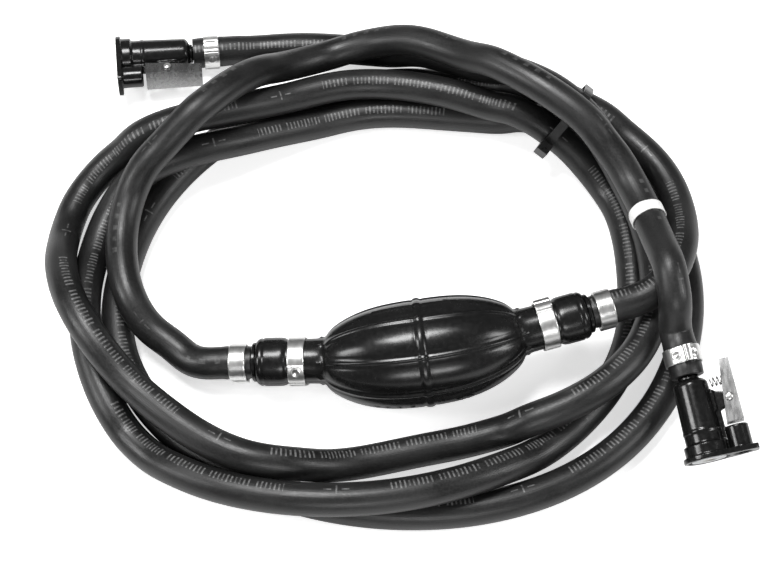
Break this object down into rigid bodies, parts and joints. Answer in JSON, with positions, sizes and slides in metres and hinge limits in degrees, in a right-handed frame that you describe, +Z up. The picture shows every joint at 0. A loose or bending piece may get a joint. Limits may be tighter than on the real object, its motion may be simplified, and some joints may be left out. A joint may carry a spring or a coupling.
{
  "type": "fuel line with primer bulb",
  "caption": "Coiled rubber fuel line with a squeeze primer bulb, check valves, crimped clamps, a cable tie, and latching quick connectors on its free ends.",
  "frame": {"origin": "bottom centre of the whole coil's bounding box", "axes": "+Z up from the surface the coil lies on, +X towards the tank connector's side, along the coil's longer side, +Y towards the engine connector's side"},
  "size_m": [0.3489, 0.2822, 0.0652],
  "materials": {
    "hose": "satin, extruded",
    "bulb": "moulded, glossy",
    "plastic": "moulded, satin",
    "insert": "matte",
    "steel": "bright plated",
    "brass": "turned",
    "seal": "matte",
    "tie": "satin",
    "band": "matte"
  },
  "bodies": {
    "coil": {"engine_hose": "hose", "tank_hose": "hose", "inlet_fitting": "plastic", "inlet_spring": "steel", "outlet_fitting": "plastic", "outlet_spring": "steel", "inlet_retainer": "brass", "outlet_seat": "brass", "inlet_neck_clamp": "steel", "outlet_neck_clamp": "steel", "inlet_hose_clamp": "steel", "outlet_hose_clamp": "steel", "engine_hose_clamp": "steel", "tank_hose_clamp": "steel", "cable_tie": "tie", "id_band": "band", "engine_connector_body": "plastic", "engine_port_insert": "insert", "engine_face_seal": "seal", "engine_valve_spring": "steel", "engine_latch_pin": "steel", "engine_latch_spring": "steel", "tank_connector_body": "plastic", "tank_port_insert": "insert", "tank_face_seal": "seal", "tank_valve_spring": "steel", "tank_latch_pin": "steel", "tank_latch_spring": "steel"},
    "bulb": {"primer_bulb": "bulb"},
    "inlet_valve": {"inlet_poppet": "plastic"},
    "outlet_valve": {"outlet_poppet": "plastic"},
    "engine_lever": {"engine_latch_lever": "steel"},
    "engine_valve": {"engine_valve_plunger": "brass"},
    "tank_lever": {"tank_latch_lever": "steel"},
    "tank_valve": {"tank_valve_plunger": "brass"}
  },
  "joints": [
    {"name": "bulb_squeeze", "type": "slide", "parent": "coil", "child": "bulb", "axis": [0.0969, 0.0112, -0.9952], "range_m": [0, 0.008], "stiffness_N_per_m": 2500, "deforming": ["primer_bulb"]},
    {"name": "inlet_valve_lift", "type": "slide", "parent": "coil", "child": "inlet_valve", "axis": [0.9951, -0.0206, 0.0967], "range_m": [0, 0.002], "stiffness_N_per_m": 60, "deforming": ["inlet_spring"]},
    {"name": "outlet_valve_lift", "type": "slide", "parent": "coil", "child": "outlet_valve", "axis": [0.9641, 0.2473, 0.0967], "range_m": [0, 0.002], "stiffness_N_per_m": 60, "deforming": ["outlet_spring"]},
    {"name": "engine_latch", "type": "hinge", "parent": "coil", "child": "engine_lever", "pos_m": [-0.11928, 0.11075, 0.01544], "axis": [0.0186, 0.2631, 0.9646], "range_deg": [0, 12], "stiffness_Nm_per_rad": 0.4, "deforming": ["engine_latch_spring"]},
    {"name": "engine_valve_push", "type": "slide", "parent": "coil", "child": "engine_valve", "axis": [0.9912, 0.1217, -0.0523], "range_m": [0, 0.003], "stiffness_N_per_m": 400, "deforming": ["engine_valve_spring"]},
    {"name": "tank_latch", "type": "hinge", "parent": "coil", "child": "tank_lever", "pos_m": [0.16075, -0.08422, 0.0317], "axis": [-0.2114, -0.2503, 0.9448], "range_deg": [0, 12], "stiffness_Nm_per_rad": 0.4, "deforming": ["tank_latch_spring"]},
    {"name": "tank_valve_push", "type": "slide", "parent": "coil", "child": "tank_valve", "axis": [-0.2034, 0.9568, 0.2079], "range_m": [0, 0.003], "stiffness_N_per_m": 400, "deforming": ["tank_valve_spring"]}
  ]
}
